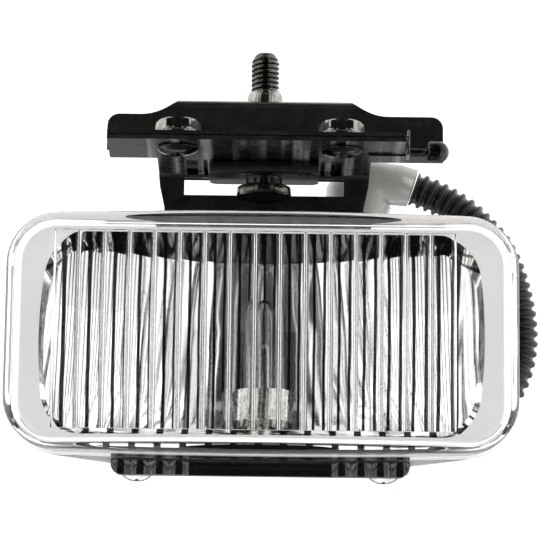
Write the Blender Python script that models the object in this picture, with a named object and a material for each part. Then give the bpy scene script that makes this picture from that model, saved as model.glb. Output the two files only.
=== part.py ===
"""Rectangular glass fog light with a corrugated wire loom, hung on a bracket with one threaded stud.

Frame: metres, +Z up, the lamp shines towards -Y, +X is to the right seen from the front.
The origin is on the stud's axis, on the top face of the bracket's top flange, which is the face
that goes against the vehicle. Every size below is in millimetres and is turned into metres by MM.
"""

from math import cos, pi, radians, sin, sqrt

import bmesh
import bpy
from mathutils import Matrix, Vector

MM = 0.001
GAP = 0.3  # clearance between pieces that touch
ROUND = 28  # sides on a round piece

# Stud: a 5/16 inch bolt, head down, that comes up through the whole clamp stack.
STUD_R = 3.97
STUD_PITCH = 1.41
STUD_TIP_Z = 15.3
HEAD_R = 7.75
HEAD_Z = (-27.0, -24.1)
NECK_R = 5.2
RETAINER_R = 5.0
RETAINER_Z = (-0.8, 3.8)
STUD_HOLE_R = 4.4

# Mounting bracket: top flange to the rear, tall panel, shelf to the front, one bent sheet.
SHEET = 1.1
BEND = 1.2
PANEL_X = (-44.6, 50.6)
PANEL_FACE_Y = -7.5
PANEL_END_Z = -4.6
PANEL_CORNER_R = 3.3
CROWN_HALF = 24.0
CROWN_FOOT = 35.0
FLANGE_REAR_Y = 15.0
SHELF_X = (-43.7, 39.4)
SHELF_FRONT_Y = -27.4
SHELF_TOP_Z = -14.6

# Yoke: a plate clamped under the shelf that bends down behind the panel and carries the lamp.
YOKE_SHEET = 1.2
YOKE_UNDER_Z = -17.2
YOKE_HALF = 30.3
YOKE_WALL_Y = 10.8
YOKE_LOW_Z = -56.0
WINDOW_HALF = 23.0
WINDOW_Z = (-23.6, -18.4)
EAR_HALF = 14.0
STRIP_Z = -17.8
SLOTS = ((16.1, 17.3), (19.0, 22.2))
SLOT_LOW_Z = -17.7
BACKING_SHEET = 0.9
BACKING_HALF = 24.5
STRIP_Y = (-13.8, -6.3)

# Clamp bolts and flange nuts, 1/4 inch.
CLAMP_X = (-24.2, 21.6)
CLAMP_Y = -18.4
CLAMP_R = 3.0
CLAMP_HOLE_R = 3.4
CLAMP_HEAD_R = 5.7
NUT_FLATS = 11.1
NUT_FLANGE_R = 7.4
NUT_HEIGHT = 4.6

# Saddle between the stud's head and the yoke.
SADDLE_HALF = 15.5
SADDLE_Y = (-7.0, 7.4)
SADDLE_Z = (-21.2, -17.5)

# Side screw in its clip on the right end of the shelf.
SIDE_Y = -18.0
SIDE_Z = -17.6
SIDE_SHANK_R = 1.05
SIDE_HEAD_R = 3.05
CLIP_TOP_Z = -12.2
SIDE_HEAD_X = (45.6, 51.7)

# Tilt pivot, a bolt along X.
PIVOT_Y = 21.0
PIVOT_Z = -48.0
PIVOT_R = 2.5

# Lamp: lens, housing and reflector share one centre height.
LAMP_Z = -73.9
LENS_W = 139.0
LENS_H = 67.0
LENS_CORNER = 14.0
LENS_BOW = 1.2
LENS_BULGE = 1.5
LENS_FRONT_Y = -43.5
LENS_REAR_Y = -29.6
LENS_WALL = 3.0
SHOULDER = 4.5
FLUTES = 16
FLUTE_PITCH = 6.8
FLUTE_X = -2.0  # middle of the fluted field
FLUTE_DEPTH = 0.9
FLUTE_HALF_H = 27.2
SEAL_Y = (-29.3, -28.1)
FLANGE_Y = (-27.8, -25.4)
HOUSING_WALL = 2.0
# Housing stations: y, half width, half height, corner radius.
HOUSING_STATIONS = (
    (-25.4, 67.2, 32.2, 13.0),
    (-17.0, 58.0, 32.2, 13.0),
    (-8.0, 47.0, 32.2, 13.0),
    (1.0, 40.0, 31.8, 13.0),
    (7.0, 35.0, 26.0, 13.0),
)
REFLECTOR_HALF_W = 62.0
REFLECTOR_HALF_H = 25.6
REFLECTOR_CORNER = 10.0
REFLECTOR_WALL = 1.2
REFLECTOR_RIM = (64.7, 28.2, -33.4)  # half width, half height, y
FOCAL = 29.0
VERTEX_Y = 2.4

# Bulb, upright on a cup in the reflector's floor.
BULB_Y = -22.0
CUP_R = 9.6
CUP_Z = (-97.2, -87.5)
GLASS_R = 5.2
GLASS_Z = (-87.2, -62.0)

# Cradle and bottom bar.
CRADLE_Y = (9.0, 10.2)
CRADLE_HALF = 34.0
CRADLE_TOP_Z = -60.0
TONGUE_HALF = 16.0
SHOULDER_Z = -68.0
CRADLE_LOW_Z = -102.0
BAR_HALF = 40.7
BAR_Y = (-25.0, -10.4)
BAR_Z = (-111.0, -106.5)
BAR_SHEET = 1.5
BAR_CORNER = 3.0
BOSS_X = 33.8
BOSS_Y = -16.2
BOSS_R = 4.6
BOTTOM_HEAD_R = 4.65
REAR_SCREW_X = 26.0
REAR_SCREW_Z = (-94.0, -76.0)

# Wire boot, loom and connector.
BOOT_X = 27.0
BOOT_Y = 24.3
BOOT_END = Vector((43.3, BOOT_Y, -17.5))
BOOT_END_DIRECTION = (0.952, 0, -0.306)
LOOM_R = 5.0
LOOM_ROUTE = (
    (43.7, 24.3, -17.7),
    (48.5, 24.4, -19.4),
    (53.4, 24.5, -21.8),
    (58.4, 24.6, -25.0),
    (63.0, 24.7, -29.2),
    (67.6, 24.8, -34.6),
    (71.0, 24.9, -41.2),
    (73.2, 25.0, -48.6),
    (74.6, 25.1, -56.4),
    (74.7, 25.2, -64.4),
    (73.2, 25.3, -72.0),
    (69.6, 25.4, -79.0),
    (63.8, 25.5, -84.6),
    (57.4, 25.5, -88.4),
    (50.0, 25.5, -90.2),
    (42.0, 25.4, -90.4),
    (33.5, 25.4, -90.2),
    (25.0, 25.4, -90.0),
)
CONNECTOR_X = (-8.0, 24.6)
CONNECTOR_HALF = (7.5, 8.5)
CONNECTOR_Z = -90.0
CONNECTOR_Y = 25.4
WIRE_R = 0.7


def clear_scene():
    for obj in list(bpy.data.objects):
        bpy.data.objects.remove(obj, do_unlink=True)


def material(name, colour, roughness, metallic=0.0, transmission=0.0):
    mat = bpy.data.materials.new(name)
    mat.use_nodes = True
    shader = mat.node_tree.nodes["Principled BSDF"]
    shader.inputs["Base Color"].default_value = (*colour, 1.0)
    shader.inputs["Roughness"].default_value = roughness
    shader.inputs["Metallic"].default_value = metallic
    shader.inputs["Transmission Weight"].default_value = transmission
    return mat


def to_object(name, bm, mat=None, sharp=35.0):
    """Turn a bmesh in millimetres into an object in metres, faces out, round stretches smooth."""
    bmesh.ops.remove_doubles(bm, verts=bm.verts, dist=0.001)
    bmesh.ops.recalc_face_normals(bm, faces=bm.faces)
    bmesh.ops.scale(bm, vec=(MM, MM, MM), verts=bm.verts)
    mesh = bpy.data.meshes.new(name)
    bm.to_mesh(mesh)
    bm.free()
    mesh.shade_smooth()
    mesh.set_sharp_from_angle(angle=radians(sharp))
    obj = bpy.data.objects.new(name, mesh)
    bpy.context.collection.objects.link(obj)
    if mat:
        mesh.materials.append(mat)
    return obj


def combine(obj, others, operation):
    """Join or cut obj with other objects by exact booleans, keep the result as its mesh."""
    for other in others:
        step = obj.modifiers.new(operation.lower(), "BOOLEAN")
        step.operation = operation
        step.object = other
        step.solver = "EXACT"
    bpy.context.view_layer.update()
    graph = bpy.context.evaluated_depsgraph_get()
    mesh = bpy.data.meshes.new_from_object(obj.evaluated_get(graph))
    old = obj.data
    obj.modifiers.clear()
    obj.data = mesh
    mesh.name = obj.name
    bpy.data.meshes.remove(old)
    mesh.shade_smooth()
    mesh.set_sharp_from_angle(angle=radians(35.0))
    for other in others:
        bpy.data.objects.remove(other, do_unlink=True)
    return obj


def cut(obj, cutters):
    return combine(obj, cutters, "DIFFERENCE")


def join(obj, others):
    return combine(obj, others, "UNION")


def arc(centre, radius, start, end, steps):
    """Points on an arc, angles in degrees."""
    return [
        (
            centre[0] + radius * cos(radians(start + (end - start) * i / steps)),
            centre[1] + radius * sin(radians(start + (end - start) * i / steps)),
        )
        for i in range(steps + 1)
    ]


def rounded_box(half_w, half_h, radius, steps=6, centre=(0.0, 0.0)):
    """Outline of a rectangle with round corners, counter-clockwise."""
    a, b = half_w - radius, half_h - radius
    points = []
    for cx, cy, start in ((a, -b, -90), (a, b, 0), (-a, b, 90), (-a, -b, 180)):
        points += arc((centre[0] + cx, centre[1] + cy), radius, start, start + 90, steps)
    return points


def lift(point, axis, height):
    """Put a flat outline's point into space: the outline's two axes are the other two in order."""
    a, b = point
    if axis == "X":
        return (height, a, b)
    if axis == "Y":
        return (a, height, b)
    return (a, b, height)


def prism_mesh(outline, axis, low, high):
    bm = bmesh.new()
    bottom = [bm.verts.new(lift(p, axis, low)) for p in outline]
    top = [bm.verts.new(lift(p, axis, high)) for p in outline]
    bm.faces.new(bottom)
    bm.faces.new(list(reversed(top)))
    count = len(outline)
    for i in range(count):
        j = (i + 1) % count
        bm.faces.new((bottom[j], bottom[i], top[i], top[j]))
    return bm


def prism(outline, axis, low, high, name="cutter", mat=None):
    return to_object(name, prism_mesh(outline, axis, low, high), mat)


def box(x, y, z, name="cutter", mat=None):
    outline = ((x[0], y[0]), (x[1], y[0]), (x[1], y[1]), (x[0], y[1]))
    return prism(outline, "Z", z[0], z[1], name, mat)


def cylinder(centre, radius, axis, low, high, name="cutter", mat=None, sides=ROUND):
    outline = arc(centre, radius, 0, 360, sides)[:-1]
    return prism(outline, axis, low, high, name, mat)


def loft(rings, closed_ring=False):
    """Skin a list of equal point rings; caps both ends unless the rings close on themselves."""
    bm = bmesh.new()
    rows = [[bm.verts.new(p) for p in ring] for ring in rings]
    count = len(rings[0])
    pairs = list(zip(rows, rows[1:]))
    if closed_ring:
        pairs.append((rows[-1], rows[0]))
    for low, high in pairs:
        for i in range(count):
            j = (i + 1) % count
            bm.faces.new((low[i], low[j], high[j], high[i]))
    if not closed_ring:
        bm.faces.new(list(reversed(rows[0])))
        bm.faces.new(rows[-1])
    return bm


def turned(profile, axis, centre, name, mat=None, sides=ROUND, hollow=False):
    """Turn a profile of (radius, height) about an axis; hollow profiles close on themselves."""
    rings = []
    for radius, height in profile:
        ring = arc(centre, radius, 0, 360, sides)[:-1]
        rings.append([lift(p, axis, height) for p in ring])
    return to_object(name, loft(rings, closed_ring=hollow), mat)


def unit(vector):
    length = sqrt(vector[0] ** 2 + vector[1] ** 2)
    return (vector[0] / length, vector[1] / length)


def sheet_section(path, bend, thickness, steps=4):
    """Outline of a bent sheet. The path is its right-hand face, the metal lies to the left."""
    near, far = [], []
    last = len(path) - 1
    for i, point in enumerate(path):
        back = unit((point[0] - path[i - 1][0], point[1] - path[i - 1][1])) if i else None
        ahead = unit((path[i + 1][0] - point[0], path[i + 1][1] - point[1])) if i < last else None
        if back is None or ahead is None:
            d = ahead or back
            near.append(point)
            far.append((point[0] - d[1] * thickness, point[1] + d[0] * thickness))
            continue
        turn = back[0] * ahead[1] - back[1] * ahead[0]
        side = 1 if turn > 0 else -1
        near_r = bend + thickness if side > 0 else bend
        far_r = bend if side > 0 else bend + thickness
        start = (point[0] - back[0] * near_r, point[1] - back[1] * near_r)
        centre = (start[0] - back[1] * near_r * side, start[1] + back[0] * near_r * side)
        for k in range(steps + 1):
            angle = side * radians(90.0 * k / steps)
            out = (back[1] * side, -back[0] * side)
            ray = (
                out[0] * cos(angle) - out[1] * sin(angle),
                out[0] * sin(angle) + out[1] * cos(angle),
            )
            near.append((centre[0] + ray[0] * near_r, centre[1] + ray[1] * near_r))
            far.append((centre[0] + ray[0] * far_r, centre[1] + ray[1] * far_r))
    return near + far[::-1]


def ease(t):
    """Smooth step from 0 to 1."""
    return t * t * (3.0 - 2.0 * t)


def make_stud(mat):
    """Bolt with a round head below, a neck, and a thread that runs out into a rounded tip."""
    profile = [
        (0.01, HEAD_Z[0] + 0.15),
        (HEAD_R - 1.4, HEAD_Z[0]),
        (HEAD_R, HEAD_Z[0] + 0.7),
        (HEAD_R, HEAD_Z[1] - 0.3),
        (HEAD_R - 0.3, HEAD_Z[1]),
        (NECK_R, HEAD_Z[1]),
        (NECK_R, SADDLE_Z[0] - GAP),
        (STUD_R, SADDLE_Z[0] - GAP),
    ]
    root = STUD_R - 0.75
    z = 0.0
    while z + STUD_PITCH < STUD_TIP_Z - 1.0:
        shrink = 0.75 * max(0.0, (z - STUD_TIP_Z + 4.0) / 3.0)
        profile += [
            (STUD_R - shrink, z),
            (STUD_R - shrink, z + 0.25 * STUD_PITCH),
            (root - 0.5 * shrink, z + 0.7 * STUD_PITCH),
        ]
        z += STUD_PITCH
    profile += [(STUD_R - 0.95, z), (STUD_R - 1.3, STUD_TIP_Z - 0.3), (0.01, STUD_TIP_Z)]
    return turned(profile, "Z", (0, 0), "mounting_stud", mat, sides=24)


def make_retainer(mat):
    low, high = RETAINER_Z
    bore = STUD_R + GAP
    profile = [
        (bore, low),
        (RETAINER_R - 0.5, low),
        (RETAINER_R, low + 0.9),
        (RETAINER_R, high - 1.3),
        (RETAINER_R - 0.5, high),
        (bore, high),
    ]
    return turned(profile, "Z", (0, 0), "stud_retainer", mat, hollow=True)


def crown_outline(margin):
    """Front view of the metal to remove above the panel: crown in the middle, lower ends."""
    left, right = PANEL_X
    r = PANEL_CORNER_R
    points = [(left - margin, margin), (left - margin, PANEL_END_Z - r), (left, PANEL_END_Z - r)]
    points += arc((left + r, PANEL_END_Z - r), r, 180, 90, 5)[1:]
    steps = 8
    for i in range(steps + 1):
        t = i / steps
        x = -CROWN_FOOT + (CROWN_FOOT - CROWN_HALF) * t
        points.append((x, PANEL_END_Z + (0.3 - PANEL_END_Z) * t * t))
    points += [(-CROWN_HALF, margin)]
    left_side = points
    right_points = [(right + margin, margin), (right + margin, PANEL_END_Z - r), (right, PANEL_END_Z - r)]
    right_points += arc((right - r, PANEL_END_Z - r), r, 0, 90, 5)[1:]
    for i in range(steps + 1):
        t = i / steps
        x = CROWN_FOOT - (CROWN_FOOT - CROWN_HALF) * t
        right_points.append((x, PANEL_END_Z + (0.3 - PANEL_END_Z) * t * t))
    right_points += [(CROWN_HALF, margin)]
    return left_side, right_points


def make_bracket(mat):
    path = [
        (FLANGE_REAR_Y, 0.0),
        (PANEL_FACE_Y, 0.0),
        (PANEL_FACE_Y, SHELF_TOP_Z),
        (SHELF_FRONT_Y, SHELF_TOP_Z),
    ]
    section = sheet_section(path, BEND, SHEET)
    bracket = prism(section, "X", PANEL_X[0], PANEL_X[1], "mounting_bracket", mat)
    left_side, right_side = crown_outline(8.0)
    front = SHELF_FRONT_Y - 2.0
    top, bottom = SHELF_TOP_Z + 1.0, SHELF_TOP_Z - 4.0
    cutters = [
        prism(left_side, "Y", PANEL_FACE_Y - 3.0, FLANGE_REAR_Y + 2.0),
        prism(right_side, "Y", PANEL_FACE_Y - 3.0, FLANGE_REAR_Y + 2.0),
        box((SHELF_X[1], PANEL_X[1] + 2.0), (front, PANEL_FACE_Y - 0.05), (bottom, top)),
        box((PANEL_X[0] - 2.0, SHELF_X[0]), (front, PANEL_FACE_Y - 0.05), (bottom, top)),
        cylinder((0, 0), RETAINER_R + GAP, "Z", -3.0, 2.0),
    ]
    for x in CLAMP_X:
        cutters.append(cylinder((x, CLAMP_Y), CLAMP_HOLE_R, "Z", bottom, top, sides=20))
    return cut(bracket, cutters)


def yoke_wall_outline():
    """Half of the wall's front outline, from the bend down to the ears, mirrored by the caller."""
    points = [(YOKE_HALF, -18.0)]
    for i in range(1, 5):
        t = i / 4
        points.append((YOKE_HALF - 1.9 * ease(t), -18.0 - 12.0 * t))
    steps = 6
    for i in range(1, steps + 1):
        t = i / steps
        x = YOKE_HALF - 1.9 + (EAR_HALF - YOKE_HALF + 1.9) * ease(t)
        points.append((x, -30.0 - 9.0 * t))
    points.append((EAR_HALF, YOKE_LOW_Z))
    return points


def make_yoke(mat):
    under = YOKE_UNDER_Z
    path = [(SHELF_FRONT_Y, under), (YOKE_WALL_Y, under), (YOKE_WALL_Y, YOKE_LOW_Z)]
    section = sheet_section(path, 1.5, YOKE_SHEET)
    yoke = prism(section, "X", -YOKE_HALF, YOKE_HALF, "yoke", mat)
    half = yoke_wall_outline()
    margin = YOKE_HALF + 5.0
    for side in (-1, 1):
        outline = [(side * x, z) for x, z in half]
        outline += [(side * EAR_HALF, YOKE_LOW_Z - 3.0), (side * margin, YOKE_LOW_Z - 3.0)]
        outline += [(side * margin, -18.0)]
        cut(yoke, [prism(outline, "Y", YOKE_WALL_Y - 1.0, YOKE_WALL_Y + 4.0)])
    top = under + YOKE_SHEET
    rear = STRIP_Y[1]
    wings = box(SHELF_X, (SHELF_FRONT_Y, rear), (under, top))
    strip = box((YOKE_HALF - 1.0, PANEL_X[1]), STRIP_Y, (STRIP_Z, under + 0.2))
    ears = []
    for side in (-1, 1):
        inner, outer = side * (EAR_HALF - YOKE_SHEET), side * EAR_HALF
        outline = [(YOKE_WALL_Y + 0.2, -40.0), (YOKE_WALL_Y + 0.2, YOKE_LOW_Z)]
        outline += arc((PIVOT_Y, PIVOT_Z), 7.0, -90, 90, 8)
        ears.append(prism(outline, "X", min(inner, outer), max(inner, outer)))
    join(yoke, [wings, strip] + ears)
    cutters = [
        box((-WINDOW_HALF, WINDOW_HALF), (YOKE_WALL_Y - 2.0, YOKE_WALL_Y + 3.0), WINDOW_Z),
        cylinder((0, 0), STUD_HOLE_R, "Z", under - 2.0, top + 2.0),
        cylinder((PIVOT_Y, PIVOT_Z), PIVOT_R + GAP, "X", -20.0, 20.0, sides=20),
    ]
    for x in CLAMP_X:
        cutters.append(cylinder((x, CLAMP_Y), CLAMP_HOLE_R, "Z", under - 2.0, top + 2.0, sides=20))
    for side in (-1, 1):
        for inner, outer in SLOTS:
            x = sorted((side * inner, side * outer))
            cutters.append(box(x, (-5.0, YOKE_WALL_Y + 3.0), (SLOT_LOW_Z, top + 1.0)))
    return cut(yoke, cutters)


def make_saddle(mat):
    front, rear = SADDLE_Y
    low, high = SADDLE_Z
    path = [(rear, high), (front, high), (front, low), (rear, low)]
    section = sheet_section(path, 0.75, 0.95)
    saddle = prism(section, "X", -SADDLE_HALF, SADDLE_HALF, "clamp_saddle", mat)
    round_r = 2.4
    corner = (-SADDLE_HALF + round_r, rear - round_r)
    rounded = [(-SADDLE_HALF - 1.0, rear + 1.0), (-SADDLE_HALF - 1.0, corner[1])]
    rounded += arc(corner, round_r, 180, 90, 5)
    rounded += [(corner[0], rear + 1.0)]
    chamfer = [
        (SADDLE_HALF - 1.5, rear + 0.01),
        (SADDLE_HALF + 0.01, rear - 1.5),
        (SADDLE_HALF + 2.0, rear + 2.0),
    ]
    cutters = [
        prism(rounded, "Z", low - 1.0, high + 1.0),
        prism(chamfer, "Z", low - 1.0, high + 1.0),
        cylinder((0, 0), STUD_HOLE_R, "Z", low - 1.0, high + 1.0),
    ]
    return cut(saddle, cutters)


def make_backing_plate(mat):
    """Angle plate that lies on the yoke's web and laps over its bend, under the spacer sleeve."""
    under = YOKE_UNDER_Z + YOKE_SHEET + GAP
    wall = YOKE_WALL_Y + YOKE_SHEET + GAP
    path = [(-5.6, under), (wall, under), (wall, SLOT_LOW_Z - 0.4)]
    section = sheet_section(path, 1.5 + YOKE_SHEET + GAP, BACKING_SHEET)
    plate = prism(section, "X", -BACKING_HALF, BACKING_HALF, "backing_plate", mat)
    return cut(plate, [cylinder((0, 0), STUD_HOLE_R, "Z", under - 2.0, under + 3.0)])


def make_sleeve(mat):
    low = YOKE_UNDER_Z + YOKE_SHEET + BACKING_SHEET + 2 * GAP
    high = -SHEET - GAP
    profile = [(STUD_HOLE_R, low), (5.8, low), (5.8, high), (STUD_HOLE_R, high)]
    return turned(profile, "Z", (0, 0), "spacer_sleeve", mat, hollow=True)


def make_clamp_bolt(x, name, mat):
    seat = YOKE_UNDER_Z - GAP
    profile = [
        (0.01, seat - 0.9),
        (1.6, seat - 0.9),
        (1.9, seat - 1.7),
        (3.4, seat - 1.55),
        (4.9, seat - 1.05),
        (CLAMP_HEAD_R, seat - 0.35),
        (CLAMP_HEAD_R, seat),
        (CLAMP_R, seat),
        (CLAMP_R, SHELF_TOP_Z + GAP + NUT_HEIGHT + 0.6),
        (0.01, SHELF_TOP_Z + GAP + NUT_HEIGHT + 0.9),
    ]
    return turned(profile, "Z", (x, CLAMP_Y), name, mat)


def make_flange_nut(x, name, mat):
    seat = SHELF_TOP_Z + GAP
    bore = CLAMP_R + GAP
    flange = [
        (bore, seat),
        (NUT_FLANGE_R, seat),
        (NUT_FLANGE_R, seat + 0.7),
        (NUT_FLANGE_R - 1.9, seat + 1.7),
        (bore, seat + 1.7),
    ]
    nut = turned(flange, "Z", (x, CLAMP_Y), name, mat, hollow=True)
    corner_r = NUT_FLATS / 2 / cos(pi / 6)
    hexagon = arc((x, CLAMP_Y), corner_r, 0, 360, 6)[:-1]
    body = prism(hexagon, "Z", seat + 0.5, seat + NUT_HEIGHT)
    cut(body, [cylinder((x, CLAMP_Y), bore, "Z", seat - 1.0, seat + NUT_HEIGHT + 1.0)])
    return join(nut, [body])


def make_side_clip(mat):
    """Spring clip over the end of the two sheets: a tall end wall with a hole for the side screw."""
    top = SHELF_TOP_Z + GAP
    under = YOKE_UNDER_Z - GAP
    inner_x = SHELF_X[1] + GAP
    outline = [
        (inner_x - 2.2, top + 0.6),
        (inner_x - 2.2, top),
        (inner_x, top),
        (inner_x, under - 1.8),
        (inner_x + 0.9, under - 1.8),
        (inner_x + 0.9, CLIP_TOP_Z),
        (inner_x + 0.3, CLIP_TOP_Z),
        (inner_x + 0.3, top + 0.6),
    ]
    clip = prism(outline, "Y", SIDE_Y - 3.0, SIDE_Y + 3.0, "side_clip", mat)
    hole = cylinder((SIDE_Y, SIDE_Z), SIDE_SHANK_R + GAP, "X", inner_x - 1.0, inner_x + 3.0, sides=16)
    return cut(clip, [hole])


def make_side_screw(mat):
    start, end = SIDE_HEAD_X
    profile = [(0.01, SHELF_X[1] + GAP), (SIDE_SHANK_R - 0.3, SHELF_X[1] + GAP + 0.1)]
    x = SHELF_X[1] + GAP + 0.4
    while x < start - 0.9:
        profile += [(SIDE_SHANK_R, x), (SIDE_SHANK_R - 0.35, x + 0.4)]
        x += 0.8
    profile += [(SIDE_SHANK_R, start), (SIDE_HEAD_R - 0.5, start), (SIDE_HEAD_R, start + 0.8)]
    dome = arc((end - 3.0, 0.0), 3.0, 90, 0, 5)
    profile += [(SIDE_HEAD_R * (z / 3.0), x) for x, z in dome[:-1]]
    profile += [(0.01, end)]
    return turned(profile, "X", (SIDE_Y, SIDE_Z), "side_screw", mat, sides=20)


def bowed(half_w, half_h, radius, bow, steps=6):
    """Round-cornered outline whose long edges bow outwards, about the lamp's centre height."""
    flat = rounded_box(half_w, half_h - bow, radius, steps)
    dense = []
    for i, (x, z) in enumerate(flat):
        dense.append((x, z))
        nx, nz = flat[(i + 1) % len(flat)]
        span = max(abs(nx - x), abs(nz - z))
        if span > 12.0:
            parts = 8 if abs(nx - x) > abs(nz - z) else 3
            dense += [(x + (nx - x) * k / parts, z + (nz - z) * k / parts) for k in range(1, parts)]
    out = []
    for x, z in dense:
        swell = bow * (1.0 - (x / half_w) ** 2) * z / (half_h - bow)
        out.append((x, LAMP_Z + z + swell))
    return out


def make_lens(mat):
    """Clear glass tray: side wall, rounded shoulder, gently bulged face, hollow flutes inside."""
    half_w, half_h = LENS_W / 2, LENS_H / 2
    rings = []
    for inset, y in ((0.6, LENS_REAR_Y), (0.0, LENS_REAR_Y - 1.5)):
        outline = bowed(half_w - inset, half_h - inset, LENS_CORNER - inset, LENS_BOW)
        rings.append([lift(p, "Y", y) for p in outline])
    steps = 4
    for i in range(steps + 1):
        angle = radians(90.0 * i / steps)
        inset = SHOULDER * (1.0 - cos(angle))
        y = LENS_FRONT_Y + SHOULDER * (1.0 - sin(angle))
        outline = bowed(half_w - inset, half_h - inset, LENS_CORNER - inset, LENS_BOW)
        rings.append([lift(p, "Y", y) for p in outline])
    for share in (0.6, 0.2):
        outline = bowed(half_w - SHOULDER, half_h - SHOULDER, LENS_CORNER - SHOULDER, LENS_BOW)
        y = LENS_FRONT_Y - LENS_BULGE * (1.0 - share**2)
        rings.append([(x * share, y, LAMP_Z + (z - LAMP_Z) * share) for x, z in outline])
    lens = to_object("lens", loft(rings), mat)
    inner = rounded_box(half_w - LENS_WALL, half_h - LENS_WALL - 0.6, LENS_CORNER - LENS_WALL)
    inner = [(x, LAMP_Z + z) for x, z in inner]
    cavity = prism(inner, "Y", LENS_FRONT_Y + 2.9, LENS_REAR_Y + 1.0)
    cut(lens, [cavity])
    start = FLUTE_X - FLUTES * FLUTE_PITCH / 2
    deep = LENS_FRONT_Y + 2.9
    outline = [(start + FLUTES * FLUTE_PITCH, deep + 1.0), (start, deep + 1.0)]
    steps = 4
    for k in range(FLUTES):
        for i in range(steps + (k == FLUTES - 1)):
            t = i / steps
            x = start + (k + t) * FLUTE_PITCH
            outline.append((x, deep - FLUTE_DEPTH * (1.0 - (2 * t - 1) ** 2)))
    flutes = prism(outline, "Z", LAMP_Z - FLUTE_HALF_H, LAMP_Z + FLUTE_HALF_H)
    return cut(lens, [flutes])


def make_lens_seal(mat):
    outer = [lift(p, "Y", 0) for p in bowed(LENS_W / 2 - 0.8, LENS_H / 2 - 0.8, LENS_CORNER - 0.8, LENS_BOW)]
    inner = [lift(p, "Y", 0) for p in bowed(LENS_W / 2 - 2.8, LENS_H / 2 - 2.8, LENS_CORNER - 2.8, LENS_BOW)]
    rear, front = SEAL_Y[1], SEAL_Y[0]
    rings = []
    for ring, y in ((outer, front), (outer, rear), (inner, rear), (inner, front)):
        rings.append([(p[0], y, p[2]) for p in ring])
    return to_object("lens_seal", loft(rings, closed_ring=True), mat)


def station_ring(y, half_w, half_h, radius):
    return [(x, y, LAMP_Z + z) for x, z in rounded_box(half_w, half_h, radius)]


def make_housing(mat):
    """Tapered shell with a front flange, two bosses below, four behind and a wire outlet."""
    outer = [station_ring(*s) for s in HOUSING_STATIONS]
    body = to_object("housing", loft(outer), mat)
    flange_ring = bowed(LENS_W / 2 - 1.2, LENS_H / 2 - 1.2, LENS_CORNER - 1.2, LENS_BOW)
    flange = prism(flange_ring, "Y", FLANGE_Y[0], FLANGE_Y[1] + 0.6)
    bosses = []
    for side in (-1, 1):
        centre = (side * BOSS_X, BOSS_Y)
        bosses.append(cylinder(centre, BOSS_R, "Z", BAR_Z[1] + GAP, LAMP_Z - 31.0, sides=20))
        for z in REAR_SCREW_Z:
            centre = (side * REAR_SCREW_X, z)
            bosses.append(cylinder(centre, 3.6, "Y", 4.0, CRADLE_Y[0] - GAP, sides=20))
    join(body, [flange] + bosses)
    w = HOUSING_WALL
    inner = []
    for i, (y, half_w, half_h, radius) in enumerate(HOUSING_STATIONS):
        y_in = y - w if i == len(HOUSING_STATIONS) - 1 else y
        inner.append(station_ring(y_in, half_w - w, half_h - w, radius - w))
    inner.insert(0, station_ring(FLANGE_Y[0] - 1.0, 66.4, 30.4, 11.0))
    cutters = [
        to_object("cutter", loft(inner)),
        cylinder((BOOT_X, -57.5), 7.1, "Y", 3.0, 9.0),
    ]
    for side in (-1, 1):
        cutters.append(cylinder((side * BOSS_X, BOSS_Y), 1.9, "Z", BAR_Z[0], -104.6, sides=14))
        for z in REAR_SCREW_Z:
            cutters.append(cylinder((side * REAR_SCREW_X, z), 1.7, "Y", 5.6, 12.0, sides=14))
    return cut(body, cutters)


def parabola(x, z):
    return VERTEX_Y - (x * x + z * z) / (4.0 * FOCAL)


def make_reflector(mat):
    """Thin bowl: parabolic floor, straight walls to the rim, a hole in the bottom for the bulb."""
    edge = rounded_box(REFLECTOR_HALF_W, REFLECTOR_HALF_H, REFLECTOR_CORNER, 5)
    dense = []
    for i, (x, z) in enumerate(edge):
        dense.append((x, z))
        nx, nz = edge[(i + 1) % len(edge)]
        if abs(nx - x) > 20.0:
            dense += [(x + (nx - x) * k / 12, z) for k in range(1, 12)]
        elif abs(nz - z) > 20.0:
            dense += [(x, z + (nz - z) * k / 4) for k in range(1, 4)]
    w = REFLECTOR_WALL
    rim_w, rim_h, rim_y = REFLECTOR_RIM
    rim_x, rim_z = rim_w / REFLECTOR_HALF_W, rim_h / REFLECTOR_HALF_H
    shares = (1.0, 0.85, 0.7, 0.55, 0.4, 0.25, 0.1)
    inside = [[(x * rim_x, rim_y, LAMP_Z + z * rim_z) for x, z in dense]]
    for share in shares:
        ring = [(x * share, z * share) for x, z in dense]
        inside.append([(x, parabola(x, z), LAMP_Z + z) for x, z in ring])
    grow_x = (REFLECTOR_HALF_W + w) / REFLECTOR_HALF_W
    grow_z = (REFLECTOR_HALF_H + w) / REFLECTOR_HALF_H
    outside = []
    for ring in inside:
        outside.append([(x * grow_x, y + w, LAMP_Z + (z - LAMP_Z) * grow_z) for x, y, z in ring])
    outside[0] = [(x, rim_y, z) for x, y, z in outside[0]]
    bm = bmesh.new()
    rows = [[bm.verts.new(p) for p in ring] for ring in reversed(outside)]
    rows += [[bm.verts.new(p) for p in ring] for ring in inside]
    count = len(dense)
    for low, high in zip(rows, rows[1:]):
        for i in range(count):
            j = (i + 1) % count
            bm.faces.new((low[i], low[j], high[j], high[i]))
    bm.faces.new(list(reversed(rows[0])))
    bm.faces.new(rows[-1])
    reflector = to_object("reflector", bm, mat)
    low = LAMP_Z - REFLECTOR_RIM[1] - 3.0
    hole = cylinder((0, BULB_Y), 4.2, "Z", low, low + 8.0)
    return cut(reflector, [hole])


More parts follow.
